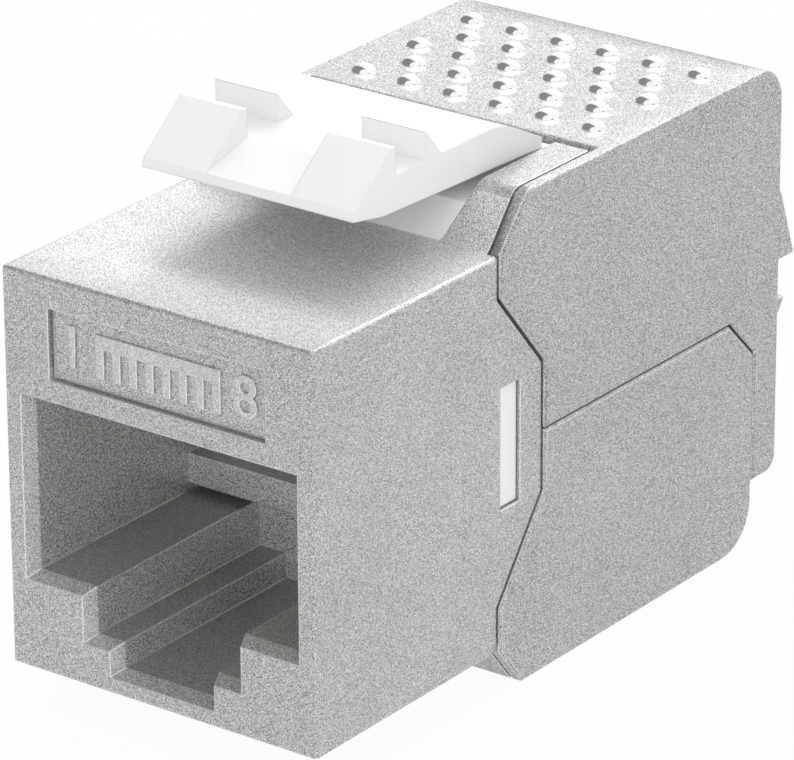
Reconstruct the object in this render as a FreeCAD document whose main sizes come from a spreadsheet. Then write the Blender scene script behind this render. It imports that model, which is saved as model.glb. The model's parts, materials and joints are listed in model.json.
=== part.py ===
import FreeCAD, Part
import Sketcher
import os
import re

# Shielded keystone jack for one eight-wire socket, with two covers that swing open at the rear.
#
# Frame of the formulas below: X runs across the jack, Y runs back from the front face and Z
# runs up from the lower edge of the front block. The placement of each piece then moves the
# origin to the middle of the footprint, at the height of the flat underside.
# All sizes are in millimetres.

SIZES = [
    # Front block, which stands in the panel
    ("face_width", 14.5),
    ("face_height", 16.25),
    ("block_depth", 11.35),
    ("edge_round", 0.15),
    ("heel_round", 0.45),
    # Tongue of the block's sides, between the covers' arms
    ("tongue_depth", 14.25),
    ("tongue_top", 11.05),
    ("tongue_low", 5.75),
    ("shoulder_top", 14.5),
    ("shoulder_low", 1.85),
    # Narrow core behind the block, which carries the covers
    ("core_width", 13.5),
    ("core_depth", 18.0),
    ("rise", 2.1),
    ("drop", 1.85),
    ("ramp_foot", 11.45),
    ("ramp_slope", 0.82),
    ("ramp_round", 0.7),
    ("foot_round", 0.5),
    # Label recess on the front face
    ("label_width", 10.15),
    ("label_low", 12.12),
    ("label_high", 15.0),
    ("label_depth", 0.22),
    ("label_groove", 0.07),
    ("label_groove_depth", 0.1),
    # Socket opening, with the plug's lever below
    ("port_width", 12.5),
    ("port_top", 11.0),
    ("port_floor", 3.87),
    ("port_depth", 10.6),
    ("step_width", 7.04),
    ("step_floor", 1.92),
    ("lever_width", 4.48),
    ("lever_floor", 0.85),
    ("mouth_flare", 0.25),
    ("mouth_depth", 0.64),
    ("bar_low", 4.2),
    ("bar_high", 5.47),
    ("bar_depth", 0.95),
    ("stop_wall", 0.6),
    # Bay behind the socket for the contact carrier
    ("bay_width", 12.0),
    ("bay_floor", 0.9),
    ("roof_wall", 1.25),
    ("comb_front", 1.3),
    ("comb_thick", 1.4),
    ("fit_play", 0.05),
    # Side windows, where the carrier's tabs snap in
    ("window_front", 11.6),
    ("window_rear", 12.9),
    ("window_low", 5.8),
    ("window_high", 10.85),
    ("tab_inset", 0.16),
    # Panel notch, shared by the latch above and the fixed catch below
    ("notch_front", 8.2),
    ("notch_rear", 10.07),
    ("catch_width", 9.88),
    ("catch_drop", 1.2),
    ("catch_lean", 1.6),
    # Covers
    ("cover_width", 14.75),
    ("cover_wall", 0.5),
    ("cover_plate", 0.95),
    ("cover_gap", 0.36),
    ("cover_depth", 30.6),
    ("rear_wall", 1.0),
    ("side_bevel", 0.1),
    ("seam_gap", 0.15),
    ("arm_step", 0.04),
    ("split_gap", 0.06),
    ("strip_depth", 1.75),
    ("strip_gap", 0.1),
    ("strip_low", 0.9),
    ("strip_round", 0.7),
    ("corner_cut", 1.75),
    ("upper_round", 1.5),
    ("lower_round", 2.0),
    ("plate_round", 0.22),
    ("cable_radius", 4.2),
    # Hinges of the covers
    ("hinge_depth", 13.3),
    ("hinge_inset", 1.65),
    ("trunnion_radius", 0.8),
    ("trunnion_play", 0.05),
    ("trunnion_length", 0.58),
    ("socket_depth", 0.6),
    # Finger lugs on the rear of the upper cover
    ("lug_reach", 1.0),
    ("lug_height", 2.9),
    ("lug_ledge", 1.74),
    ("lug_inner", 9.8),
    ("low_lug_reach", 0.35),
    ("low_lug_height", 0.57),
    ("low_lug_ledge", 0.03),
    # Grip bumps on the upper cover
    ("bump_radius", 0.55),
    ("bump_rise", 0.42),
    ("bump_pitch_across", 2.2),
    ("bump_pitch_along", 1.82),
    ("bump_front_room", 1.81),
    # Panel latch
    ("latch_width", 9.88),
    ("tooth_gap", 3.96),
    ("lip_front", 5.68),
    ("lip_under", 5.56),
    ("lip_top", 3.03),
    ("lip_thick", 0.35),
    ("tooth_front", 7.95),
    ("tooth_top", 4.85),
    ("beam_top", 3.73),
    ("stop_back", 11.05),
    ("beam_back", 14.9),
    ("beam_round", 4.0),
    ("belly_front", 7.4),
    ("belly_front_rise", 2.35),
    ("root_rise", 1.97),
    ("root_tip", 0.04),
    ("root_rear", 18.05),
    ("root_round", 0.8),
    ("flex_depth", 17.5),
    ("latch_travel", 6.5),
    ("latch_slack", 0.6),
    ("latch_play", 0.04),
    # Recess in the core for the latch's base
    ("seat_low_width", 9.16),
    ("seat_top_width", 10.4),
    # Circuit board
    ("board_width", 11.0),
    ("board_thick", 1.2),
    ("board_front", 12.3),
    ("board_rear", 23.2),
    # Socket contacts
    ("contact_pitch", 1.02),
    ("contact_width", 0.45),
    ("contact_thick", 0.3),
    ("contact_slot", 0.66),
    ("contact_front", 2.9),
    ("contact_top_play", 0.3),
    ("contact_bend", 0.9),
    ("contact_tip_depth", 8.6),
    ("contact_tip_height", 8.6),
    ("contact_tip_curl", 0.7),
    ("tail_depth", 13.5),
    ("tail_stagger", 1.1),
    ("tail_reach", 0.4),
    ("tail_room", 0.2),
    ("tail_hole", 0.36),
    # Wire terminals
    ("block_width", 12.6),
    ("block_height", 4.35),
    ("block_rear", 23.8),
    ("terminal_pitch", 3.0),
    ("terminal_width", 1.9),
    ("terminal_thick", 0.45),
    ("terminal_rise", 1.8),
    ("terminal_slit", 0.36),
    ("terminal_slit_depth", 2.6),
    ("terminal_mouth", 0.6),
    ("pin_width", 0.7),
    ("pin_hole", 0.48),
    ("upper_row", 20.2),
    ("lower_row", 21.9),
    ("wire_channel", 1.5),
    ("wire_channel_depth", 1.0),
    # Wire guides inside the covers
    ("guide_width", 13.0),
    ("guide_front_room", 0.44),
    ("guide_rear_room", 2.65),
    ("guide_gap", 0.3),
    ("guide_groove", 2.2),
    ("guide_groove_depth", 2.1),
    ("guide_wire_radius", 0.75),
]

NAMES = [name for name, size in SIZES]
WORD = re.compile(r"[a-z][a-z_]*")

# Levels that several pieces share
TOP = "(face_height+rise)"
FOOT = "(-drop)"
MIDDLE = "((face_height+rise-drop)/2)"
HALF_INNER = "(cover_width/2-cover_wall)"
PLATE_FRONT = "(core_depth+cover_gap)"
LOWER_REAR = "(cover_depth-strip_depth)"
FIRST_BUMP_ROW = f"({PLATE_FRONT}+bump_front_room)"
BAY_FRONT = "(port_depth+stop_wall)"
BAY_TOP = "(face_height-roof_wall)"
COMB_TOP = "(port_top+comb_thick)"
ARM_FRONT = "(block_depth+seam_gap)"
GUIDE_FRONT = f"({PLATE_FRONT}+guide_front_room)"
GUIDE_REAR = f"({LOWER_REAR}-rear_wall-guide_rear_room)"

CONTACT_COUNT = 8
TERMINALS_PER_ROW = 4
FIRST_CONTACT = f"(-contact_pitch*{(CONTACT_COUNT - 1) / 2})"
FIRST_TERMINAL = f"(-terminal_pitch*{(TERMINALS_PER_ROW - 1) / 2})"

# A grip bump is a half round of flat faces: its sides, and the angles of its rings above the foot
BUMPS_ACROSS = 6
BUMP_SIDES = 12
BUMP_RINGS = (0, 40, 75)

# Two points closer than this, in millimetres, are one place
TOUCH = 1e-4

doc = FreeCAD.newDocument("keystone_jack")
sheet = doc.addObject("Spreadsheet::Sheet", "size")
for row, (name, size) in enumerate(SIZES, start=1):
    sheet.set(f"A{row}", name)
    sheet.set(f"B{row}", str(size))
    sheet.setAlias(f"B{row}", name)
doc.recompute()


def bound(formula):
    """The formula with every size named as a cell of the sheet."""
    return WORD.sub(lambda word: f"size.{word.group()}" if word.group() in NAMES else word.group(), formula)


def value(formula):
    return float(sheet.evalExpression(bound(formula)))


def new_piece(label):
    """An empty body that stands in the finished frame."""
    body = doc.addObject("PartDesign::Body", label)
    body.Label = label
    body.setExpression("Placement.Base.y", bound("-(cover_depth+lug_reach)/2"))
    body.setExpression("Placement.Base.z", bound("drop"))
    return body


def origin_feature(body, role):
    return next(feature for feature in body.Origin.OriginFeatures if feature.Role == role)


def new_sketch(body, axis, level):
    """A sketch square to an axis, at a place along that axis."""
    plane = {"X": "YZ_Plane", "Y": "XZ_Plane", "Z": "XY_Plane"}[axis]
    sketch = body.newObject("Sketcher::SketchObject", "Sketch")
    sketch.AttachmentSupport = [(origin_feature(body, plane), "")]
    sketch.MapMode = "FlatFace"
    sign = "-" if axis == "Y" else ""
    sketch.setExpression("AttachmentOffset.Base.z", bound(f"{sign}({level})"))
    return sketch


def draw_outline(sketch, points):
    """A closed outline of straight edges, each corner held at its two formulas."""
    corners = [FreeCAD.Vector(value(u), value(v), 0) for u, v in points]
    count = len(corners)
    edges = [Part.LineSegment(corners[i], corners[(i + 1) % count]) for i in range(count)]
    sketch.addGeometry(edges, False)
    links = [Sketcher.Constraint("Coincident", i, 2, (i + 1) % count, 1) for i in range(count)]
    sketch.addConstraint(links)
    for i, (u, v) in enumerate(points):
        across = sketch.addConstraint(Sketcher.Constraint("DistanceX", -1, 1, i, 1, corners[i].x))
        upward = sketch.addConstraint(Sketcher.Constraint("DistanceY", -1, 1, i, 1, corners[i].y))
        sketch.setExpression(f"Constraints[{across}]", bound(u))
        sketch.setExpression(f"Constraints[{upward}]", bound(v))


def draw_circle(sketch, centre, radius):
    """A circle held at the formulas of its centre and radius."""
    middle = FreeCAD.Vector(value(centre[0]), value(centre[1]), 0)
    sketch.addGeometry(Part.Circle(middle, FreeCAD.Vector(0, 0, 1), value(radius)), False)
    across = sketch.addConstraint(Sketcher.Constraint("DistanceX", -1, 1, 0, 3, middle.x))
    upward = sketch.addConstraint(Sketcher.Constraint("DistanceY", -1, 1, 0, 3, middle.y))
    size = sketch.addConstraint(Sketcher.Constraint("Radius", 0, value(radius)))
    sketch.setExpression(f"Constraints[{across}]", bound(centre[0]))
    sketch.setExpression(f"Constraints[{upward}]", bound(centre[1]))
    sketch.setExpression(f"Constraints[{size}]", bound(radius))


def extrude(body, kind, axis, sketch, start, end):
    """A pad or pocket that runs from start to end along the axis."""
    feature = body.newObject(f"PartDesign::{kind}", kind)
    feature.Profile = sketch
    feature.Type = "Length"
    feature.setExpression("Length", bound(f"({end})-({start})"))
    feature.Reversed = (kind == "Pad") == (axis == "Y")
    doc.recompute()
    return feature


def add(body, axis, start, end, points):
    sketch = new_sketch(body, axis, start)
    draw_outline(sketch, points)
    return extrude(body, "Pad", axis, sketch, start, end)


def cut(body, axis, start, end, points):
    sketch = new_sketch(body, axis, start)
    draw_outline(sketch, points)
    return extrude(body, "Pocket", axis, sketch, start, end)


def add_round(body, axis, start, end, centre, radius):
    sketch = new_sketch(body, axis, start)
    draw_circle(sketch, centre, radius)
    return extrude(body, "Pad", axis, sketch, start, end)


def cut_round(body, axis, start, end, centre, radius):
    sketch = new_sketch(body, axis, start)
    draw_circle(sketch, centre, radius)
    return extrude(body, "Pocket", axis, sketch, start, end)


def rectangle(left, low, right, high):
    return [(left, low), (right, low), (right, high), (left, high)]


def mirror(body, feature):
    """The feature again on the other side of the jack's middle plane."""
    twin = body.newObject("PartDesign::Mirrored", "Mirrored")
    twin.Originals = [feature]
    twin.MirrorPlane = (origin_feature(body, "YZ_Plane"), [""])
    body.Tip = twin
    doc.recompute()
    return twin


def repeat(body, feature, pitch, count):
    """The feature in a row of equal steps across the jack."""
    row = body.newObject("PartDesign::LinearPattern", "LinearPattern")
    row.Originals = [feature]
    row.Direction = (origin_feature(body, "X_Axis"), [""])
    row.setExpression("Length", bound(f"({pitch})*{count - 1}"))
    row.Occurrences = count
    body.Tip = row
    doc.recompute()
    return row


def edge_names(shape, axis, spots):
    """Names of the straight edges along an axis that pass through any of the spots."""
    along = {"X": 0, "Y": 1, "Z": 2}[axis]
    others = [i for i in range(3) if i != along]
    found = []
    for number, edge in enumerate(shape.Edges, start=1):
        ends = [vertex.Point for vertex in edge.Vertexes]
        if len(ends) != 2 or abs(abs(ends[1][along] - ends[0][along]) - edge.Length) > TOUCH:
            continue
        for spot in spots:
            places = [value(formula) for formula in spot]
            if all(abs(ends[0][i] - place) < TOUCH for i, place in zip(others, places)):
                found.append(f"Edge{number}")
    return found


def own_shape(body):
    """The shape of the piece so far, in the frame of the formulas."""
    shape = body.Shape.copy()
    shape.Placement = body.Placement.inverse().multiply(shape.Placement)
    return shape


def round_edges(body, radius, axis, spots):
    """A fillet on the edges along an axis, each given by its two other coordinates."""
    base = body.Tip
    edges = edge_names(own_shape(body), axis, spots)
    fillet = body.newObject("PartDesign::Fillet", "Fillet")
    fillet.Base = (base, edges)
    fillet.setExpression("Radius", bound(radius))
    doc.recompute()
    return fillet


def bevel_sides(body, size, half_width):
    """A bevel round the whole outline of both flat outer sides."""
    base = body.Tip
    side = value(half_width)
    edges = []
    for number, edge in enumerate(own_shape(body).Edges, start=1):
        on_a_side = all(abs(abs(vertex.X) - side) < TOUCH for vertex in edge.Vertexes)
        if on_a_side and edge.BoundBox.XLength < side:
            edges.append(f"Edge{number}")
    bevel = body.newObject("PartDesign::Chamfer", "Chamfer")
    bevel.Base = (base, edges)
    bevel.setExpression("Size", bound(size))
    doc.recompute()
    return bevel


def port_outline(flare):
    """The socket's stepped opening, wider all round by the flare."""
    wide = f"(port_width/2+{flare})"
    step = f"(step_width/2+{flare})"
    lever = f"(lever_width/2+{flare})"
    floors = [f"port_floor-{flare}", f"step_floor-{flare}", f"lever_floor-{flare}"]
    right = [(lever, floors[2]), (lever, floors[1]), (step, floors[1]), (step, floors[0]), (wide, floors[0])]
    left = [(f"-{u}", v) for u, v in reversed(right)]
    return right + [(wide, f"port_top+{flare}"), (f"-{wide}", f"port_top+{flare}")] + left


def front_housing():
    """Die-cast shell: front block, core, socket opening, bay and the fixed panel catch."""
    body = new_piece("front_housing")
    half_face = "face_width/2"
    half_core = "core_width/2"
    add(body, "X", f"-{half_face}", half_face, [
        ("0", "0"), ("0", "face_height"), ("block_depth", "face_height"),
        ("block_depth", "shoulder_top"), ("tongue_depth", "tongue_top"),
        ("tongue_depth", "tongue_low"), ("block_depth", "shoulder_low"), ("block_depth", "0")])
    round_edges(body, "heel_round", "X", [("block_depth", "0")])
    add(body, "X", f"-{half_core}", half_core, [
        ("port_depth", "0"), ("port_depth", "face_height"), ("ramp_foot", "face_height"),
        ("ramp_foot+ramp_slope*rise", TOP), ("core_depth", TOP), ("core_depth", FOOT),
        ("ramp_foot+ramp_slope*drop", FOOT), ("ramp_foot", "0")])
    round_edges(body, "foot_round", "X", [("ramp_foot", "face_height")])
    round_edges(body, "ramp_round", "X", [("ramp_foot+ramp_slope*rise", TOP)])
    round_edges(body, "edge_round", "Z", [(half_face, "0"), (f"-{half_face}", "0")])
    round_edges(body, "edge_round", "Y", [(half_face, "face_height"), (f"-{half_face}", "face_height")])
    fixed_catch(body)
    socket_opening(body)
    label_recess(body)
    cut(body, "X", f"-{half_face}", half_face,
        rectangle("window_front", "window_low", "window_rear", "window_high"))
    latch_seat(body)
    for height in (f"{TOP}-hinge_inset", f"{FOOT}+hinge_inset"):
        socket = cut_round(body, "X", f"{half_core}-socket_depth", half_core,
                           ("hinge_depth", height), "trunnion_radius+trunnion_play")
        mirror(body, socket)
    return body


def label_recess(body):
    """The shallow recess on the front face, with a narrow groove round its floor."""
    half = "label_width/2"
    inner = f"({half}-label_groove)"
    groove_floor = "label_depth+label_groove_depth"
    cut(body, "Y", "0", groove_floor, rectangle(f"-{half}", "label_low", half, "label_high"))
    add(body, "Y", "label_depth", groove_floor, rectangle(
        f"-{inner}", "label_low+label_groove", inner, "label_high-label_groove"))


def fixed_catch(body):
    """Two ribs under the block that hold the lower edge of the panel."""
    half = "catch_width/2"
    add(body, "X", f"-{half}", half, [
        ("notch_front-catch_lean", "0"), ("notch_front-catch_lean/4", "-catch_drop"),
        ("notch_front", "-catch_drop"), ("notch_front", "0")])
    add(body, "X", f"-{half}", half, [
        ("notch_rear", "0"), ("notch_rear", "-catch_drop"),
        ("core_depth", "-catch_drop"), ("core_depth", "0")])


def socket_opening(body):
    """The socket with its flared mouth and plug stop, and the bay behind it."""
    half_bay = "bay_width/2"
    cut(body, "Y", "0", "port_depth", port_outline("0"))
    mouth = new_sketch(body, "Y", "0")
    draw_outline(mouth, port_outline("mouth_flare"))
    throat = new_sketch(body, "Y", "mouth_depth")
    draw_outline(throat, port_outline("0"))
    flare = body.newObject("PartDesign::SubtractiveLoft", "Mouth")
    flare.Profile = mouth
    flare.Sections = [throat]
    flare.Ruled = True
    doc.recompute()
    cut(body, "Y", BAY_FRONT, "core_depth", rectangle(f"-{half_bay}", "bay_floor", half_bay, BAY_TOP))
    cut(body, "Y", "comb_front", BAY_FRONT, rectangle(f"-{half_bay}", "port_top", half_bay, COMB_TOP))
    cut(body, "Y", "port_depth", BAY_FRONT, rectangle(f"-{half_bay}", "bar_high", half_bay, "port_top"))
    add(body, "Y", "port_depth-bar_depth", "port_depth",
        rectangle("-port_width/2", "bar_low", "port_width/2", "bar_high"))


def latch_seat(body):
    """The drafted recess through the top of the core, for the latch's base."""
    low = "seat_low_width/2"
    top = "seat_top_width/2"
    cut(body, "Y", "port_depth", "core_depth", [
        (f"-{low}", "face_height"), (low, "face_height"), (top, TOP), (f"-{top}", TOP)])


def latch_base():
    """Plastic base of the latch, flush with the core's front ramp."""
    body = new_piece("latch_base")
    low = "seat_low_width/2"
    top = "seat_top_width/2"
    under = "(face_height+root_rise)"
    drop_at_front = "(flex_depth-ramp_foot)*tan(latch_travel+latch_slack)"
    add(body, "Y", "ramp_foot", "root_rear", [
        (f"-{low}", "face_height"), (low, "face_height"), (top, TOP), (f"-{top}", TOP)])
    cut(body, "X", f"-{top}", top, [
        ("ramp_foot", "face_height"), ("ramp_foot+ramp_slope*rise", TOP), ("ramp_foot", TOP)])
    cut(body, "X", f"-{top}", top, [
        ("ramp_foot", f"{under}-latch_play-{drop_at_front}"), ("flex_depth", f"{under}-latch_play"),
        ("root_rear", f"{under}-latch_play"), ("root_rear", TOP), ("ramp_foot", TOP)])
    return body


def panel_latch():
    """Springy beam with a lip, two ramped teeth and two stops that hold the panel's upper edge."""
    body = new_piece("panel_latch")
    half = "latch_width/2"
    under = "face_height+root_rise"
    beam = "face_height+beam_top"
    add(body, "X", f"-{half}", half, [
        ("lip_under", "face_height+lip_top-lip_thick"), ("lip_front", "face_height+lip_top"),
        ("notch_front", beam), ("beam_back", beam), ("root_rear", f"{TOP}+root_tip"),
        ("root_rear", under), ("flex_depth", under), ("belly_front", "face_height+belly_front_rise")])
    round_edges(body, "beam_round", "X", [("beam_back", beam)])
    round_edges(body, "root_round", "Z", [(half, "root_rear"), (f"-{half}", "root_rear")])
    tooth = add(body, "X", "tooth_gap/2", half, [
        ("lip_front", "face_height+lip_top"), ("tooth_front", "face_height+tooth_top"),
        ("notch_front", "face_height+tooth_top"), ("notch_front", beam)])
    mirror(body, tooth)
    stop = add(body, "X", "tooth_gap/2", half, [
        ("notch_rear", beam), ("notch_rear", "face_height+tooth_top"), ("stop_back", beam)])
    mirror(body, stop)
    return body


def trunnions(body, height):
    """Two short round bosses inside the cover's arms, which turn in the core's sockets."""
    boss = add_round(body, "X", f"{HALF_INNER}-trunnion_length", HALF_INNER,
                     ("hinge_depth", height), "trunnion_radius")
    mirror(body, boss)


def upper_cover():
    """Upper half of the rear shell, with the rear strip, finger lugs and grip bumps."""
    body = new_piece("upper_cover")
    half = "cover_width/2"
    seam = f"({MIDDLE}+split_gap/2)"
    ramp_top = f"{ARM_FRONT}+ramp_slope*(rise-arm_step)"
    strip_front = f"({LOWER_REAR}+strip_gap)"
    add(body, "X", f"-{half}", half, [
        (ARM_FRONT, "shoulder_top+seam_gap/2"), (ARM_FRONT, "face_height+arm_step"),
        (ramp_top, TOP), ("cover_depth", TOP),
        ("cover_depth", "strip_low"), (strip_front, "strip_low"),
        (strip_front, f"{seam}-corner_cut"), (f"{strip_front}-corner_cut", seam),
        ("tongue_depth+seam_gap", seam), ("tongue_depth+seam_gap", "tongue_top+seam_gap/2")])
    round_edges(body, "upper_round", "X", [("cover_depth", TOP)])
    round_edges(body, "strip_round", "X", [("cover_depth", "strip_low")])
    round_edges(body, "ramp_round", "X", [(ramp_top, TOP)])
    bevel_sides(body, "side_bevel", half)
    add(body, "X", f"-{half}", half, [
        ("cover_depth-rear_wall/2", f"{MIDDLE}+lug_ledge"),
        ("cover_depth+lug_reach", f"{MIDDLE}+lug_ledge"),
        ("cover_depth", f"{MIDDLE}+lug_ledge+lug_height"),
        ("cover_depth-rear_wall/2", f"{MIDDLE}+lug_ledge+lug_height")])
    add(body, "X", f"-{half}", half, [
        ("cover_depth-rear_wall/2", f"{MIDDLE}+low_lug_ledge"),
        ("cover_depth+low_lug_reach", f"{MIDDLE}+low_lug_ledge"),
        ("cover_depth", f"{MIDDLE}+low_lug_ledge-low_lug_height"),
        ("cover_depth-rear_wall/2", f"{MIDDLE}+low_lug_ledge-low_lug_height")])
    cut(body, "Y", "cover_depth", "cover_depth+lug_reach",
        rectangle("-lug_inner/2", "0", "lug_inner/2", TOP))
    cut(body, "X", f"-{HALF_INNER}", HALF_INNER, [
        ("block_depth", "0"), ("block_depth", TOP), (PLATE_FRONT, TOP),
        (PLATE_FRONT, f"{TOP}-cover_plate"), ("cover_depth-rear_wall", f"{TOP}-cover_plate"),
        ("cover_depth-rear_wall", "0")])
    round_edges(body, "plate_round", "X", [(PLATE_FRONT, TOP)])
    cut_round(body, "Y", "cover_depth-rear_wall", "cover_depth", ("0", MIDDLE), "cable_radius")
    cut(body, "Y", "cover_depth-rear_wall", "cover_depth",
        rectangle("-cable_radius", "0", "cable_radius", MIDDLE))
    trunnions(body, f"{TOP}-hinge_inset")
    rows = bump_rows()
    grip_bumps(body, 0, BUMPS_ACROSS, (rows + 1) // 2)
    grip_bumps(body, 1, BUMPS_ACROSS - 1, rows // 2)
    return body


def bump_rows():
    """How many rows of grip bumps the flat of the plate has room for."""
    room = value(f"cover_depth-upper_round-bump_radius-{FIRST_BUMP_ROW}")
    return 1 + int(room / value("bump_pitch_along"))


def bump_ring(body, centre_x, centre_y, angle):
    """One ring of a grip bump, smaller and higher with its angle above the foot."""
    ring = new_sketch(body, "Z", f"{TOP}+bump_rise*sin({angle})")
    corners = [360 / BUMP_SIDES * corner for corner in range(BUMP_SIDES)]
    radius = f"bump_radius*cos({angle})"
    draw_outline(ring, [
        (f"{centre_x}+{radius}*cos({turn})", f"{centre_y}+{radius}*sin({turn})") for turn in corners])
    return ring


def grip_bumps(body, first_row, across, along):
    """Rows of low round bumps, every other row with one bump less and half a step sideways."""
    centre_x = f"-bump_pitch_across*{(across - 1) / 2}"
    centre_y = f"{FIRST_BUMP_ROW}+bump_pitch_along*{first_row}"
    rings = [bump_ring(body, centre_x, centre_y, angle) for angle in BUMP_RINGS]
    bump = body.newObject("PartDesign::AdditiveLoft", "Bump")
    bump.Profile = rings[0]
    bump.Sections = rings[1:]
    bump.Ruled = True
    doc.recompute()
    field = body.newObject("PartDesign::MultiTransform", "Bumps")
    field.Originals = [bump]
    steps = (("X_Axis", "bump_pitch_across", across), ("Y_Axis", "bump_pitch_along*2", along))
    rows = []
    for role, pitch, count in steps:
        row = body.newObject("PartDesign::LinearPattern", "BumpRow")
        row.Direction = (origin_feature(body, role), [""])
        row.setExpression("Length", bound(f"{pitch}*{count - 1}"))
        row.Occurrences = count
        rows.append(row)
    field.Transformations = rows
    body.Tip = field
    doc.recompute()


def lower_cover():
    """Lower half of the rear shell, which closes in front of the upper cover's rear strip."""
    body = new_piece("lower_cover")
    half = "cover_width/2"
    seam = f"({MIDDLE}-split_gap/2)"
    add(body, "X", f"-{half}", half, [
        (ARM_FRONT, "shoulder_low-seam_gap/2"), ("tongue_depth+seam_gap", "tongue_low-seam_gap/2"),
        ("tongue_depth+seam_gap", seam), (f"{LOWER_REAR}-corner_cut", seam),
        (LOWER_REAR, f"{seam}-corner_cut"), (LOWER_REAR, FOOT),
        (f"{ARM_FRONT}+ramp_slope*(drop-arm_step)", FOOT), (ARM_FRONT, "-arm_step")])
    round_edges(body, "lower_round", "X", [(LOWER_REAR, FOOT)])
    bevel_sides(body, "side_bevel", half)
    cut(body, "X", f"-{HALF_INNER}", HALF_INNER, [
        ("block_depth", FOOT), (PLATE_FRONT, FOOT), (PLATE_FRONT, f"{FOOT}+cover_plate"),
        (f"{LOWER_REAR}-rear_wall-lower_round/2", f"{FOOT}+cover_plate"),
        (f"{LOWER_REAR}-rear_wall", f"{FOOT}+cover_plate+lower_round/2"),
        (f"{LOWER_REAR}-rear_wall", seam), ("block_depth", seam)])
    cut_round(body, "Y", f"{LOWER_REAR}-rear_wall", LOWER_REAR, ("0", MIDDLE), "cable_radius")
    trunnions(body, f"{FOOT}+hinge_inset")
    return body


def jack_insert():
    """Plastic contact carrier: comb over the socket, body in the bay and two snap tabs."""
    body = new_piece("jack_insert")
    half = "(bay_width/2-fit_play)"
    add(body, "Y", f"{BAY_FRONT}+fit_play", "core_depth",
        rectangle(f"-{half}", "bay_floor+fit_play", half, f"{BAY_TOP}-fit_play"))
    add(body, "Y", "port_depth", f"{BAY_FRONT}+fit_play",
        rectangle(f"-{half}", "bar_high+fit_play", half, f"{COMB_TOP}-fit_play"))
    add(body, "Y", "comb_front+fit_play", "port_depth",
        rectangle(f"-{half}", "port_top+fit_play", half, f"{COMB_TOP}-fit_play"))
    add(body, "X", "-(face_width/2-tab_inset)", "face_width/2-tab_inset",
        rectangle("window_front+fit_play", "window_low+fit_play",
                  "window_rear-fit_play", "window_high-fit_play"))
    board_low = f"({MIDDLE}-board_thick/2)"
    board_top = f"({MIDDLE}+board_thick/2)"
    board_side = "(board_width/2+fit_play)"
    cut(body, "Y", "board_front-fit_play", "core_depth",
        rectangle(f"-{board_side}", f"{board_low}-fit_play", board_side, f"{board_top}+fit_play"))
    tails_side = f"(contact_pitch-{FIRST_CONTACT})"
    cut(body, "Y", "tail_depth-tail_hole*2", "tail_depth+tail_stagger+tail_hole*2",
        rectangle(f"-{tails_side}", f"{board_low}-tail_reach*2", tails_side, board_low))
    slot = cut(body, "X", f"{FIRST_CONTACT}-contact_slot/2", f"{FIRST_CONTACT}+contact_slot/2", [
        ("comb_front+stop_wall", "port_top"), ("port_depth", "port_top"), ("port_depth", board_top),
        ("tail_depth+tail_stagger+tail_hole*2", board_top),
        ("tail_depth+tail_stagger+tail_hole*2", f"{COMB_TOP}-contact_top_play"),
        ("comb_front+stop_wall", f"{COMB_TOP}-contact_top_play")])
    repeat(body, slot, "contact_pitch", CONTACT_COUNT)
    return body


def circuit_board():
    """Board that joins the socket contacts to the wire terminals."""
    body = new_piece("circuit_board")
    low = f"{MIDDLE}-board_thick/2"
    top = f"{MIDDLE}+board_thick/2"
    add(body, "Z", low, top, rectangle("-board_width/2", "board_front", "board_width/2", "board_rear"))
    holes = (
        (FIRST_CONTACT, "tail_depth", "tail_hole", "contact_pitch*2"),
        (f"{FIRST_CONTACT}+contact_pitch", "tail_depth+tail_stagger", "tail_hole", "contact_pitch*2"),
        (FIRST_TERMINAL, "upper_row", "pin_hole", "terminal_pitch"),
        (FIRST_TERMINAL, "lower_row", "pin_hole", "terminal_pitch"),
    )
    for across, along, radius, pitch in holes:
        hole = cut_round(body, "Z", low, top, (across, along), radius)
        repeat(body, hole, pitch, TERMINALS_PER_ROW)
    return body


def socket_contact(number):
    """Flat spring contact: tail in the board, run along the comb, hairpin and sprung finger."""
    body = new_piece(f"contact_{number}")
    middle = f"({FIRST_CONTACT}+contact_pitch*{number - 1})"
    tail = "tail_depth" if number % 2 else "(tail_depth+tail_stagger)"
    board_low = f"{MIDDLE}-board_thick/2"
    run_top = f"({COMB_TOP}-contact_top_play-fit_play)"
    run_low = f"({run_top}-contact_thick)"
    add(body, "X", f"{middle}-contact_width/2", f"{middle}+contact_width/2", [
        (f"{tail}-contact_thick/2", f"{board_low}-tail_reach"),
        (f"{tail}+contact_thick/2", f"{board_low}-tail_reach"),
        (f"{tail}+contact_thick/2", run_top),
        ("contact_front+contact_bend/3", run_top),
        ("contact_front", f"{run_top}-contact_bend/3"),
        ("contact_front", f"{run_top}-contact_bend*2/3"),
        ("contact_front+contact_bend/3", f"{run_top}-contact_bend"),
        ("contact_tip_depth", "contact_tip_height"),
        ("contact_tip_depth+contact_tip_curl", "contact_tip_height+contact_tip_curl/4"),
        ("contact_tip_depth+contact_tip_curl", "contact_tip_height+contact_tip_curl/4+contact_thick"),
        ("contact_tip_depth", "contact_tip_height+contact_thick*1.1"),
        ("contact_front+contact_bend/3+contact_thick/2", f"{run_top}-contact_bend+contact_thick"),
        ("contact_front+contact_thick", f"{run_top}-contact_bend*0.6"),
        ("contact_front+contact_thick", f"{run_top}-contact_bend*0.4"),
        ("contact_front+contact_bend/3+contact_thick/2", run_low),
        (f"{tail}-contact_thick/2", run_low)])
    return body


def level(side, distance):
    """Height at a distance from the middle plane, upward for side 1 and downward for side -1."""
    return f"({MIDDLE}+({side})*({distance}))"


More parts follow.
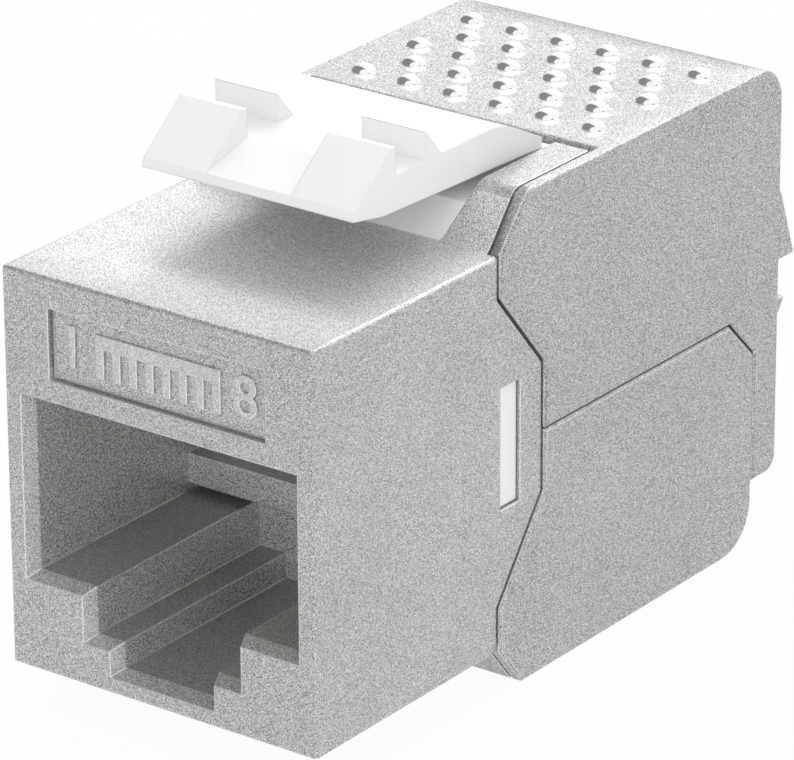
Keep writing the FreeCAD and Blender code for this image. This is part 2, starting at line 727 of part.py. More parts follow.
def terminal_block(label, side, row, other_row):
    """Plastic block on one face of the board, with a channel and a slot for each wire."""
    body = new_piece(label)
    near = "board_thick/2"
    far = "board_thick/2+block_height"
    relief = "board_thick/2+tail_reach+tail_room"
    low, high = (near, far) if side > 0 else (far, near)
    half = "block_width/2"
    add(body, "Z", level(side, low), level(side, high),
        rectangle(f"-{half}", "core_depth", half, "block_rear"))
    slot = cut(body, "Z", level(side, low), level(side, high), rectangle(
        f"{FIRST_TERMINAL}-terminal_width/2-fit_play", f"{row}-terminal_thick/2-fit_play",
        f"{FIRST_TERMINAL}+terminal_width/2+fit_play", f"{row}+terminal_thick/2+fit_play"))
    repeat(body, slot, "terminal_pitch", TERMINALS_PER_ROW)
    face = level(side, far)
    floor = level(side, f"{far}-wire_channel_depth")
    channel = cut(body, "Y", "core_depth", "block_rear", [
        (f"{FIRST_TERMINAL}-wire_channel/2", face), (f"{FIRST_TERMINAL}-wire_channel/3", floor),
        (f"{FIRST_TERMINAL}+wire_channel/3", floor), (f"{FIRST_TERMINAL}+wire_channel/2", face)])
    repeat(body, channel, "terminal_pitch", TERMINALS_PER_ROW)
    low, high = (near, relief) if side > 0 else (relief, near)
    tail_room = cut_round(body, "Z", level(side, low), level(side, high),
                          (FIRST_TERMINAL, other_row), "pin_hole")
    repeat(body, tail_room, "terminal_pitch", TERMINALS_PER_ROW)
    return body


def wire_terminal(number):
    """Slit blade that cuts through a wire's insulation, with its pin through the board."""
    side = 1 if number <= TERMINALS_PER_ROW else -1
    row = "upper_row" if side > 0 else "lower_row"
    middle = f"({FIRST_TERMINAL}+terminal_pitch*{(number - 1) % TERMINALS_PER_ROW})"
    foot = level(side, "-board_thick/2-tail_reach")
    seat = level(side, "board_thick/2+terminal_width/4")
    tip = level(side, "board_thick/2+block_height+terminal_rise")
    slit = level(side, "board_thick/2+block_height+terminal_rise-terminal_slit_depth")
    throat = level(side, "board_thick/2+block_height+terminal_rise-terminal_mouth")
    body = new_piece(f"wire_terminal_{number}")
    right = [("pin_width/2", foot), ("pin_width/2", seat), ("terminal_width/2", seat),
             ("terminal_width/2", tip), ("terminal_mouth/2+terminal_slit/2", tip),
             ("terminal_slit/2", throat), ("terminal_slit/2", slit)]
    outline = [(f"{middle}+{u}", v) for u, v in right]
    outline += [(f"{middle}-({u})", v) for u, v in reversed(right)]
    add(body, "Y", f"{row}-terminal_thick/2", f"{row}+terminal_thick/2", outline)
    return body


def wire_guide(label, side, row):
    """Plastic guide fixed inside a cover, which presses the wires onto the blades."""
    body = new_piece(label)
    near = "board_thick/2+block_height+guide_gap"
    far = "(face_height+rise+drop)/2-cover_plate"
    low, high = (near, far) if side > 0 else (far, near)
    half = "guide_width/2"
    add(body, "Z", level(side, low), level(side, high),
        rectangle(f"-{half}", GUIDE_FRONT, half, GUIDE_REAR))
    cut(body, "X", f"-{half}", half, rectangle(
        f"{row}-guide_groove/2", level(side, near),
        f"{row}+guide_groove/2", level(side, f"{near}+guide_groove_depth")))
    channel = cut_round(body, "Y", GUIDE_FRONT, GUIDE_REAR,
                        (FIRST_TERMINAL, level(side, near)), "guide_wire_radius")
    repeat(body, channel, "terminal_pitch", TERMINALS_PER_ROW)
    return body


pieces = [front_housing(), upper_cover(), lower_cover(), latch_base(), panel_latch(), jack_insert()]
pieces.append(circuit_board())
for contact in range(1, CONTACT_COUNT + 1):
    pieces.append(socket_contact(contact))
pieces.append(terminal_block("upper_terminal_block", 1, "upper_row", "lower_row"))
pieces.append(terminal_block("lower_terminal_block", -1, "lower_row", "upper_row"))
for terminal in range(1, 2 * TERMINALS_PER_ROW + 1):
    pieces.append(wire_terminal(terminal))
pieces.append(wire_guide("upper_wire_guide", 1, "upper_row"))
pieces.append(wire_guide("lower_wire_guide", -1, "lower_row"))

doc.recompute()
for item in doc.Objects:
    if "Invalid" in item.State or "Error" in item.State:
        raise RuntimeError(f"{item.Label} did not build: {item.State}")
os.makedirs("parts", exist_ok=True)
for piece in pieces:
    shape = piece.Shape
    if shape.isNull() or not shape.isValid():
        raise RuntimeError(f"{piece.Label} has no valid shape")
    print(piece.Label, "solids", len(shape.Solids), "volume", round(shape.Volume, 3))
    shape.exportStep(f"parts/{piece.Label}.step")
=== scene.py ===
import json
import math

import bmesh
import bpy
from mathutils import Matrix, Vector


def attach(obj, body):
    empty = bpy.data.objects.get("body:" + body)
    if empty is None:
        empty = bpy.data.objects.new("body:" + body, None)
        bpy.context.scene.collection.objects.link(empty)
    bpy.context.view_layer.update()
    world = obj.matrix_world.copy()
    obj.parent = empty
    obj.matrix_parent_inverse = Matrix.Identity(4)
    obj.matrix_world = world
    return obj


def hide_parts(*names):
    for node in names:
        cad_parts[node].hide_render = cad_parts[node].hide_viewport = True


# Looks of a shielded keystone jack: blasted zinc shell, white plastic latch, white studio

MM = 0.001
WHITE = (1.0, 1.0, 1.0, 1.0)

# Photo's camera: where it stands, which way it looks and the part of its picture that is kept
PHOTO_WIDTH = 794
PHOTO_HEIGHT = 760
FOCAL_PIXELS = 6014.1
CENTRE_PIXEL = (419.5, 384.9)
CAMERA_AZIMUTH = 36.377
CAMERA_ELEVATION = 22.961
CAMERA_ROLL = -0.185
CAMERA_PLACE = Vector((128.151, -173.442, 100.987)) * MM
SENSOR_WIDTH = 36.0
CLIP_NEAR = 0.01
CLIP_FAR = 10.0

# Light: an even sky, a soft key from behind and a softer fill from above the camera
SKY_LEVEL = 0.75
BACKGROUND_LEVEL = 1.0
KEY_FROM = Vector((-0.15, 0.75, 0.62))
KEY_SPREAD = math.radians(50)
KEY_POWER = 1.25
FILL_FROM = Vector((0.5, -0.6, 0.62))
FILL_SPREAD = math.radians(80)
FILL_POWER = 0.95

# Dark side of the sky, in front, which only gloss shows: full up to the inner angle from its middle,
# and gone at the outer one
CARD_FROM = Vector((-0.15, -0.90, -0.40))
CARD_INNER = math.cos(math.radians(111))
CARD_OUTER = math.cos(math.radians(116))
CARD_LEVEL = 0.25

# Floor, and the part of it that the jack stands on
FLOOR_REACH = 2.0
FLOOR_COLOUR = (0.8, 0.8, 0.8, 1)
FLOOR_WHITE_SHARE = 0.95
FOOTPRINT = (("X", -7.2 * MM, 7.2 * MM), ("Y", -0.9 * MM, 11.5 * MM))

# Noise: the values that it seldom passes, and its turn, so that no flat face lies along its own planes,
# where its grains would run together
NOISE_LOW = 0.3
NOISE_HIGH = 0.7
NOISE_TURN = (0.6, 0.4, 0.3)

# Edges: how wide they are rubbed or rounded, and how far a softened normal turns from the face's own,
# as a cosine, where an edge starts and where it is full
# The lightened edges and inside corners are partly rubbed wear and partly painted highlight
EDGE_RADIUS = 0.09 * MM
EDGE_SAMPLES = 6
EDGE_START = 0.99
EDGE_FULL = 0.88

# Faces: the share of an axis in the normal from which a face counts as turned that way, and fully
FACING_START = 0.2
FACING_FULL = 0.8

# Blasted zinc. Here and below, the size of a texture is the number of its grains in a metre
FINE_GRAIN = 27000.0
FINE_SHARE = 0.9
COARSE_GRAIN = 6000.0
CLOUDS = 240.0
CLOUD_DEPTH = 0.02
GRAIN_HEIGHT = 0.008 * MM
GRAIN_STRENGTH = 0.6
ZINC_METALLIC = 0.65
ZINC_ROUGHNESS_SPREAD = 0.1
EDGE_POLISH = 0.6

# Polished zinc of the bumps
DOME_TONES = (0.90, 0.96)
DOME_ROUGHNESS = (0.10, 0.18)
DOME_GRAIN_HEIGHT = 0.002 * MM
DOME_GRAIN_STRENGTH = 0.3

# Moulded plastics
FLOW_MARKS = 110.0
FLOW_SHADE = 0.97
MOULD_GRAIN = 9000.0
MOULD_HEIGHT = 0.0015 * MM
MOULD_STRENGTH = 0.3
PLASTIC_ROUGHNESS = 0.38
PLASTIC_ROUGHNESS_SPREAD = 0.04
# Edges of the plastics are painted a little lighter: wear and painted highlight
PLASTIC_EDGE_GAIN = 1.05

# Circuit board
WEAVE = 700.0
WEAVE_DARK = (0.02, 0.14, 0.06, 1)
WEAVE_LIGHT = (0.03, 0.19, 0.09, 1)
WEAVE_HEIGHT = 0.004 * MM
WEAVE_STRENGTH = 0.4
MASK_GRAIN = 2500.0
MASK_ROUGHNESS = (0.3, 0.42)

# Metal strips of the contacts and wire terminals
ROLLING_LINES = (20000.0, 800.0, 800.0)
ROLLING_HEIGHT = 0.002 * MM
ROLLING_STRENGTH = 0.4
STRIP_ROUGHNESS_SPREAD = 0.06
GOLD_LIGHT = (0.86, 0.64, 0.27, 1)
GOLD_DARK = (0.74, 0.52, 0.20, 1)
TIN_LIGHT = (0.72, 0.72, 0.70, 1)
TIN_DARK = (0.58, 0.58, 0.57, 1)

# Socket: the space of its walls, floors and back, and of its flared mouth. Their tones are set apart
# from the rest of the block, to match the photo's view
SOCKET_HALF_WIDTH = 6.9 * MM
SOCKET_HEIGHTS = (2.2 * MM, 14.4 * MM)
MOUTH_FRONT = -15.78 * MM
THROAT = -15.16 * MM
SOCKET_BACK = -4.5 * MM
# Painted light on the socket's walls, back and mouth sides, and painted shade on its floors
WALL_PAINTED_LIGHT = 1.42
FLOOR_PAINTED_SHADE = 0.8
BACK_PAINTED_LIGHT = 1.75
MOUTH_SIDE_PAINTED_LIGHT = 1.5
SOCKET_GRAIN_GAIN = 0.6

# Top of the block and the ramps beside the latch: their tone is set lighter than the sides, to match
# the photo's view. It grows from the front edge back, and from the left edge to the middle
# Painted light on the top of the block and on the ramps beside the latch
TOP_START = -15.5 * MM
TOP_FULL = -13.0 * MM
TOP_END = -2.9 * MM
TOP_LOWEST = 18.0 * MM
TOP_FACING = 0.3
TOP_PAINTED_LIGHT = 1.42
TOP_LEFT = -7.0 * MM
TOP_LEFT_SHARE = 0.55

# Rear edge of the upper cover's plate, which is set duller than the plate, as it looks in the photo
# Painted shade on the rounded rear edge of the plate
REAR_ROUND_LOWEST = 19.6 * MM
REAR_ROUND_START = 12.5 * MM
REAR_ROUND_FULL = 13.8 * MM
REAR_ROUND_PAINTED_SHADE = 0.62
REAR_ROUND_HALF_WIDTH = (6.0 * MM, 7.0 * MM)

# Upper cover's shell: the angle from which an edge stays sharp, the distance within which its corners
# are joined, and the play within which a corner counts as lying on the plate
CREASE = math.radians(25)
WELD = 0.0001 * MM
FOOT_PLAY = 0.002 * MM

# Round grip bumps on the upper cover, each the cap of a ball, with a foot sunk in the plate
BUMP_RADIUS = 0.5 * MM
BUMP_RISE = 0.295 * MM
BUMP_PITCH_ACROSS = 2.2 * MM
BUMP_PITCH_ALONG = 1.82 * MM
BUMP_FIRST_ROW = 4.37 * MM
BUMP_FOOT = 20.2 * MM
BUMP_ROWS = (6, 5, 6, 5, 6)
BUMP_SEGMENTS = 40
BUMP_RINGS = 10
BUMP_SINK = 0.02 * MM

# Bright spot on the plate in front of each bump and a little to its right, as it looks in the photo
# Painted light: the light that each bump throws on the plate
SPOT_ASIDE = 0.46 * MM
SPOT_FORWARD = 0.50 * MM
SPOT_INNER = 0.15 * MM
SPOT_OUTER = 0.48 * MM
PAINTED_SPOT_SHARE = 0.7
SPOT_HALF_WIDTH = 6.2 * MM
SPOT_ROW_MARGIN = 0.6

# Mark in the label recess: a comb of eight teeth between the numbers of the first and last contact
LABEL_MIDDLE = Vector((0, -15.8, 15.41)) * MM
LABEL_FLOOR = 0.22 * MM
MARK_RISE = 0.09 * MM
MARK_SINK = 0.05 * MM
MARK_HEIGHT = 1.75 * MM
BAR_COUNT = 8
BAR_PITCH = 0.78 * MM
BAR_WIDTH = 0.36 * MM
BEAM_HEIGHT = 0.55 * MM
NUMBER_PLACE = 4.05 * MM
NUMBER_BOLD = 0.02 * MM
NUMBER_STEPS = 6
DIGIT_SHARE = 0.73


def grey(level):
    return (level, level, level, 1.0)


class Nodes:
    """Adds nodes to a node tree. An input is given as a number or colour, or as another node's output."""

    def __init__(self, tree):
        self.tree = tree

    def node(self, kind, inputs=(), **settings):
        made = self.tree.nodes.new(kind)
        for name, setting in settings.items():
            setattr(made, name, setting)
        for name, source in dict(inputs).items():
            self.link(source, made.inputs[name])
        return made

    def link(self, source, socket):
        if isinstance(source, bpy.types.NodeSocket):
            self.tree.links.new(source, socket)
        else:
            socket.default_value = source

    def math(self, operation, first, second=0.0, third=0.0):
        made = self.node("ShaderNodeMath", operation=operation)
        for socket, source in zip(made.inputs, (first, second, third)):
            self.link(source, socket)
        return made.outputs[0]

    def dot(self, first, second):
        made = self.node("ShaderNodeVectorMath", operation="DOT_PRODUCT")
        self.link(first, made.inputs[0])
        self.link(second, made.inputs[1])
        return made.outputs["Value"]

    def remap(self, source, low, high, start, end, **settings):
        """The source's range from low to high, spread from start to end and held there."""
        made = self.node("ShaderNodeMapRange", {
            "Value": source, "From Min": low, "From Max": high, "To Min": start, "To Max": end},
            **settings)
        return made.outputs["Result"]

    def between(self, source, low, high):
        """1 where the source lies between two values, and 0 elsewhere."""
        above = self.math("GREATER_THAN", source, low)
        return self.math("MULTIPLY", above, self.math("LESS_THAN", source, high))


class Shader(Nodes):
    """A node material, built node by node."""

    def __init__(self, name):
        self.material = bpy.data.materials.new(name)
        self.material.use_nodes = True
        super().__init__(self.material.node_tree)
        self.tree.nodes.clear()
        self.surface = self.node("ShaderNodeBsdfPrincipled")
        output = self.node("ShaderNodeOutputMaterial")
        self.link(self.surface.outputs[0], output.inputs["Surface"])

    def place(self):
        """Coordinates that stay with the piece, in metres."""
        return self.node("ShaderNodeTexCoord").outputs["Object"]

    def axes(self, vector):
        """The X, Y and Z of a vector."""
        return self.node("ShaderNodeSeparateXYZ", {"Vector": vector}).outputs

    def noise(self, scale, detail=2.0):
        turned = self.node("ShaderNodeMapping", {"Vector": self.place(), "Rotation": NOISE_TURN})
        made = self.node("ShaderNodeTexNoise", {
            "Vector": turned.outputs[0], "Scale": scale, "Detail": detail})
        return made.outputs["Fac"]

    def spread(self, noise, start, end):
        """The noise's usual range, spread from start to end."""
        return self.remap(noise, NOISE_LOW, NOISE_HIGH, start, end)

    def mix(self, share, first, second):
        made = self.node("ShaderNodeMix", data_type="RGBA")
        self.link(share, made.inputs[0])
        self.link(first, made.inputs[6])
        self.link(second, made.inputs[7])
        return made.outputs[2]

    def grey_of(self, tone):
        """A tone as a colour."""
        return self.node("ShaderNodeCombineColor", {"Red": tone, "Green": tone, "Blue": tone}).outputs[0]

    def edges(self, radius):
        """1 on the piece's sharp edges and corners, 0 on its flat faces, and the softened normal."""
        soft = self.node("ShaderNodeBevel", {"Radius": radius}, samples=EDGE_SAMPLES).outputs[0]
        plain = self.node("ShaderNodeNewGeometry").outputs["Normal"]
        return self.remap(self.dot(soft, plain), EDGE_START, EDGE_FULL, 0.0, 1.0), soft

    def bump(self, height, distance, strength, normal=None):
        inputs = {"Height": height, "Distance": distance, "Strength": strength}
        if normal is not None:
            inputs["Normal"] = normal
        return self.node("ShaderNodeBump", inputs).outputs[0]

    def finish(self, **inputs):
        for name, source in inputs.items():
            self.link(source, self.surface.inputs[name.replace("_", " ")])
        return self.material


def faces(made):
    """The piece's own coordinates and the way its surface faces, as two sets of X, Y and Z."""
    coordinates = made.node("ShaderNodeTexCoord").outputs
    return made.axes(coordinates["Object"]), made.axes(coordinates["Normal"])


def socket_tone(made, tone, grain):
    """Tone inside the socket: stronger grain on the walls; painted light on walls, back and mouth; painted
    shade on floors.
    """
    place, facing = faces(made)
    across = made.between(place["X"], -SOCKET_HALF_WIDTH, SOCKET_HALF_WIDTH)
    within = made.math("MULTIPLY", across, made.between(place["Z"], *SOCKET_HEIGHTS))
    inside = made.math("MULTIPLY", within, made.between(place["Y"], THROAT, SOCKET_BACK))
    mouth = made.math("MULTIPLY", within, made.between(place["Y"], MOUTH_FRONT, THROAT))
    upward = made.remap(facing["Z"], FACING_START, FACING_FULL, 0.0, 1.0)
    forward = made.remap(facing["Y"], -FACING_START, -FACING_FULL, 0.0, BACK_PAINTED_LIGHT - WALL_PAINTED_LIGHT)
    sideways = made.remap(facing["X"], FACING_START, FACING_FULL, 0.0, MOUTH_SIDE_PAINTED_LIGHT - 1.0)
    deep = made.math("ADD", made.remap(upward, 0.0, 1.0, WALL_PAINTED_LIGHT - 1.0, FLOOR_PAINTED_SHADE - 1.0), forward)
    gain = made.math("MULTIPLY_ADD", inside, deep, made.math("MULTIPLY", mouth, sideways))
    walls = made.math("MULTIPLY", inside, made.math("SUBTRACT", 1.0, upward))
    rougher = made.math("MULTIPLY_ADD", made.math("MULTIPLY", walls, grain), SOCKET_GRAIN_GAIN, tone)
    return made.math("MULTIPLY", rougher, made.math("ADD", gain, 1.0))


def top_gain(made):
    """Painted light: lighter tone towards the latch on the top of the block, and on the ramps beside the
    latch.
    """
    place, facing = faces(made)
    on_top = made.math("MULTIPLY", made.math("GREATER_THAN", place["Z"], TOP_LOWEST),
                       made.math("GREATER_THAN", facing["Z"], TOP_FACING))
    gain = made.math("MULTIPLY", made.remap(place["Y"], TOP_START, TOP_FULL, 0.0, TOP_PAINTED_LIGHT - 1.0),
                     made.remap(place["X"], TOP_LEFT, 0.0, TOP_LEFT_SHARE, 1.0))
    before_end = made.math("MULTIPLY", gain, made.math("LESS_THAN", place["Y"], TOP_END))
    return made.math("MULTIPLY_ADD", on_top, before_end, 1.0)


def rear_round_gain(made):
    """Painted shade: darker tone on the rounded rear edge of the upper cover."""
    place = made.axes(made.place())
    rearward = made.remap(place["Y"], REAR_ROUND_START, REAR_ROUND_FULL, 0.0, REAR_ROUND_PAINTED_SHADE - 1.0)
    inward = made.remap(made.math("ABSOLUTE", place["X"]), *REAR_ROUND_HALF_WIDTH, 1.0, 0.0)
    on_edge = made.math("GREATER_THAN", place["Z"], REAR_ROUND_LOWEST)
    return made.math("MULTIPLY_ADD", on_edge, made.math("MULTIPLY", rearward, inward), 1.0)


def bright_spots(made):
    """Mask of the painted light: 1 on the plate in front of a bump, and 0 away from them all."""
    place = made.axes(made.place())
    across = made.math("DIVIDE", made.math("SUBTRACT", place["X"], SPOT_ASIDE), BUMP_PITCH_ACROSS)
    along = made.math("ADD", place["Y"], SPOT_FORWARD - BUMP_FIRST_ROW)
    along = made.math("DIVIDE", along, BUMP_PITCH_ALONG)
    half_step = made.math("PINGPONG", made.math("SUBTRACT", across, 0.5), 0.5)
    row_step = made.math("PINGPONG", along, 1.0)
    wide = bump_distance(made, half_step, row_step)
    narrow = bump_distance(made, made.math("SUBTRACT", 0.5, half_step), made.math("SUBTRACT", 1.0, row_step))
    row_end = (max(BUMP_ROWS) - 1) / 2
    narrow = made.math("ADD", narrow, made.math("GREATER_THAN", made.math("ABSOLUTE", across), row_end))
    near = made.remap(made.math("MINIMUM", wide, narrow), SPOT_INNER, SPOT_OUTER, 1.0, 0.0)
    in_rows = made.between(along, -SPOT_ROW_MARGIN, len(BUMP_ROWS) - 1 + SPOT_ROW_MARGIN)
    on_plate = made.math("MULTIPLY", made.between(place["X"], -SPOT_HALF_WIDTH, SPOT_HALF_WIDTH),
                         made.math("GREATER_THAN", place["Z"], BUMP_FOOT - FOOT_PLAY))
    return made.math("MULTIPLY", made.math("MULTIPLY", near, in_rows), on_plate)


def bump_distance(made, steps_across, steps_along):
    """Distance in metres from the nearest bump of one half of the field."""
    across = made.math("MULTIPLY", steps_across, BUMP_PITCH_ACROSS)
    along = made.math("MULTIPLY", steps_along, BUMP_PITCH_ALONG)
    square = made.math("MULTIPLY_ADD", across, across, made.math("MULTIPLY", along, along))
    return made.math("SQRT", square)


def zinc(name, level, grain_depth, roughness, has_socket=False, has_bumps=False):
    """Bare zinc casting: fine blasted grain, soft clouds of tone, and edges lightened as rubbed wear and
    painted highlight.
    """
    made = Shader(name)
    coarse = made.math("MULTIPLY", made.noise(COARSE_GRAIN, detail=1.0), 1.0 - FINE_SHARE)
    grain = made.math("MULTIPLY_ADD", made.noise(FINE_GRAIN, detail=0.5), FINE_SHARE, coarse)
    clouds = made.spread(made.noise(CLOUDS, detail=3.0), level - CLOUD_DEPTH, level + CLOUD_DEPTH)
    speckle = made.spread(grain, -grain_depth, grain_depth)
    tone = made.math("ADD", speckle, clouds)
    # Painted light and shade: on the block's socket and top, and on the cover's rear edge and beside its
    # bumps
    if has_socket:
        tone = made.math("MULTIPLY", socket_tone(made, tone, speckle), top_gain(made))
    if has_bumps:
        tone = made.math("MULTIPLY", tone, rear_round_gain(made))
        share = made.math("MULTIPLY", bright_spots(made), PAINTED_SPOT_SHARE)
        tone = made.math("MULTIPLY_ADD", share, made.math("SUBTRACT", 1.0, tone), tone)
    # Edges and inside corners turn white: rubbed wear on the edges and a painted highlight
    wear_and_highlight, soft = made.edges(EDGE_RADIUS)
    rough = made.spread(grain, roughness + ZINC_ROUGHNESS_SPREAD, roughness - ZINC_ROUGHNESS_SPREAD)
    return made.finish(
        Base_Color=made.mix(wear_and_highlight, made.grey_of(tone), WHITE), Metallic=ZINC_METALLIC,
        Roughness=made.math("MULTIPLY", rough, made.math("MULTIPLY_ADD", wear_and_highlight, -EDGE_POLISH, 1.0)),
        Normal=made.bump(grain, GRAIN_HEIGHT, GRAIN_STRENGTH, soft))


def polished_zinc():
    """Polished domes: the same metal with hardly any grain and a sharp shine."""
    made = Shader("dome_zinc")
    grain = made.noise(COARSE_GRAIN, detail=1.0)
    return made.finish(
        Base_Color=made.grey_of(made.spread(grain, *DOME_TONES)), Metallic=1.0,
        Roughness=made.spread(grain, *DOME_ROUGHNESS),
        Normal=made.bump(grain, DOME_GRAIN_HEIGHT, DOME_GRAIN_STRENGTH))


def plastic(name, level):
    """Moulded plastic: faint flow marks, a very fine mould texture and slightly rounded edges, painted a
    little lighter as wear and highlight.
    """
    made = Shader(name)
    texture = made.noise(MOULD_GRAIN)
    wear_and_highlight, soft = made.edges(EDGE_RADIUS)
    body = made.mix(made.spread(made.noise(FLOW_MARKS), 0.0, 1.0), grey(level * FLOW_SHADE), grey(level))
    rough = made.spread(texture, PLASTIC_ROUGHNESS - PLASTIC_ROUGHNESS_SPREAD,
                        PLASTIC_ROUGHNESS + PLASTIC_ROUGHNESS_SPREAD)
    return made.finish(
        Base_Color=made.mix(wear_and_highlight, body, grey(level * PLASTIC_EDGE_GAIN)), Roughness=rough,
        Normal=made.bump(texture, MOULD_HEIGHT, MOULD_STRENGTH, soft))


def board():
    """Green solder mask over a woven glass-fibre board."""
    made = Shader("board_green")
    weave = made.node("ShaderNodeTexWave", {"Vector": made.place(), "Scale": WEAVE, "Distortion": 1.0})
    return made.finish(
        Base_Color=made.mix(weave.outputs["Fac"], WEAVE_DARK, WEAVE_LIGHT),
        Roughness=made.spread(made.noise(MASK_GRAIN), *MASK_ROUGHNESS),
        Normal=made.bump(weave.outputs["Fac"], WEAVE_HEIGHT, WEAVE_STRENGTH))


def strip_metal(name, light, dark, roughness):
    """Plated strip: fine rolling lines along it and small changes of tone."""
    made = Shader(name)
    stretch = made.node("ShaderNodeMapping", {"Vector": made.place(), "Scale": ROLLING_LINES})
    lines = made.node("ShaderNodeTexNoise", {"Vector": stretch.outputs[0], "Scale": 1.0}).outputs["Fac"]
    # Edges lightened to the light colour: wear and painted highlight
    wear_and_highlight, soft = made.edges(EDGE_RADIUS / 2)
    body = made.mix(made.spread(lines, 0.0, 1.0), dark, light)
    rough = made.spread(lines, roughness - STRIP_ROUGHNESS_SPREAD, roughness + STRIP_ROUGHNESS_SPREAD)
    return made.finish(
        Base_Color=made.mix(wear_and_highlight, body, light), Metallic=1.0, Roughness=rough,
        Normal=made.bump(lines, ROLLING_HEIGHT, ROLLING_STRENGTH, soft))


def dress(frame):
    """Gives every node of the frame the material of its slot."""
    finishes = {
        "blasted_zinc": zinc(
            "blasted_zinc", level=0.51, grain_depth=0.40, roughness=0.50, has_socket=True),
        "cover_zinc": zinc(
            "cover_zinc", level=0.475, grain_depth=0.42, roughness=0.50, has_bumps=True),
        "latch_plastic": plastic("latch_plastic", level=0.86),
        "carrier_plastic": plastic("carrier_plastic", level=0.88),
        "block_plastic": plastic("block_plastic", level=0.60),
        "guide_plastic": plastic("guide_plastic", level=0.78),
        "board_green": board(),
        "contact_gold": strip_metal("contact_gold", GOLD_LIGHT, GOLD_DARK, roughness=0.28),
        "terminal_tin": strip_metal("terminal_tin", TIN_LIGHT, TIN_DARK, roughness=0.35),
    }
    for row in frame["record"]["subparts"]:
        node = frame["nodes"][row["node"]]
        node.data.materials.clear()
        node.data.materials.append(finishes[row["material_slot"]])
    return finishes


def new_piece(name, mesh, material, body):
    """A piece of the scene that moves with a body and wears the given material."""
    piece = bpy.data.objects.new(name, mesh)
    bpy.context.scene.collection.objects.link(piece)
    mesh.materials.append(material)
    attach(piece, body)
    return piece


def mesh_of(form, name):
    """The finished form as a mesh."""
    mesh = bpy.data.meshes.new(name)
    form.to_mesh(mesh)
    form.free()
    return mesh


def smooth_cover(frame, material):
    """The upper cover without its flat-sided bumps, so that rounder ones can stand in their place."""
    form = bmesh.new()
    form.from_mesh(frame["nodes"]["upper_cover"].data)
    bmesh.ops.remove_doubles(form, verts=form.verts, dist=WELD)
    proud = [vert for vert in form.verts if vert.co.z > BUMP_FOOT + FOOT_PLAY]
    bmesh.ops.delete(form, geom=proud, context="VERTS")
    bmesh.ops.holes_fill(form, edges=[edge for edge in form.edges if edge.is_boundary])
    bmesh.ops.recalc_face_normals(form, faces=form.faces)
    mesh = mesh_of(form, "upper_cover_shell")
    mesh.shade_smooth()
    mesh.set_sharp_from_angle(angle=CREASE)
    shell = new_piece("upper_cover_shell", mesh, material, "upper_cover_body")
    even = shell.modifiers.new("even_shading", "WEIGHTED_NORMAL")
    even.keep_sharp = True
    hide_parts("upper_cover")


def grip_bumps():
    """Smooth round domes on the plate of the upper cover."""
    form = bmesh.new()
    for row, count in enumerate(BUMP_ROWS):
        for place in range(count):
            centre = Vector(((place - (count - 1) / 2) * BUMP_PITCH_ACROSS,
                             BUMP_FIRST_ROW + row * BUMP_PITCH_ALONG, BUMP_FOOT))
            add_dome(form, centre)
    mesh = mesh_of(form, "grip_bumps")
    mesh.shade_smooth()
    new_piece("grip_bumps", mesh, polished_zinc(), "upper_cover_body")


def add_dome(form, centre):
    """One closed dome: rings that shrink as the ball's surface rises, from a foot just inside the plate."""
    ball = (BUMP_RADIUS ** 2 + BUMP_RISE ** 2) / (2 * BUMP_RISE)
    rim = math.asin(BUMP_RADIUS / ball)
    rings = []
    for level in range(BUMP_RINGS):
        angle = rim * (1 - level / BUMP_RINGS)
        height = ball * math.cos(angle) - ball + BUMP_RISE
        rings.append(add_ring(form, centre, ball * math.sin(angle), height))
    sunk = add_ring(form, centre, BUMP_RADIUS, -BUMP_SINK)
    crown = form.verts.new(centre + Vector((0, 0, BUMP_RISE)))
    for low, high in zip([sunk] + rings[:-1], rings):
        for i in range(BUMP_SEGMENTS):
            j = (i + 1) % BUMP_SEGMENTS
            form.faces.new((low[i], low[j], high[j], high[i]))
    for i in range(BUMP_SEGMENTS):
        form.faces.new((rings[-1][i], rings[-1][(i + 1) % BUMP_SEGMENTS], crown))
    form.faces.new(reversed(sunk))


def add_ring(form, centre, radius, height):
    turns = [2 * math.pi * i / BUMP_SEGMENTS for i in range(BUMP_SEGMENTS)]
    return [form.verts.new(centre + Vector((radius * math.cos(turn), radius * math.sin(turn), height)))
            for turn in turns]


def add_box(form, low, high):
    """A closed box between two corners."""
    made = bmesh.ops.create_cube(form, size=1.0)["verts"]
    middle = (low + high) / 2
    size = high - low
    for vert in made:
        vert.co = Vector([middle[i] + vert.co[i] * size[i] for i in range(3)])


def number_mesh(text, height):
    """A number as a flat plate round its own middle, lying in the X and Y plane."""
    curve = bpy.data.curves.new("number", "FONT")
    curve.body = text
    curve.align_x = "CENTER"
    curve.align_y = "CENTER"
    curve.size = height / DIGIT_SHARE
    curve.offset = NUMBER_BOLD
    curve.extrude = (MARK_RISE + MARK_SINK) / 2
    curve.resolution_u = NUMBER_STEPS
    maker = bpy.data.objects.new("number", curve)
    mesh = bpy.data.meshes.new_from_object(maker)
    bpy.data.objects.remove(maker)
    return mesh


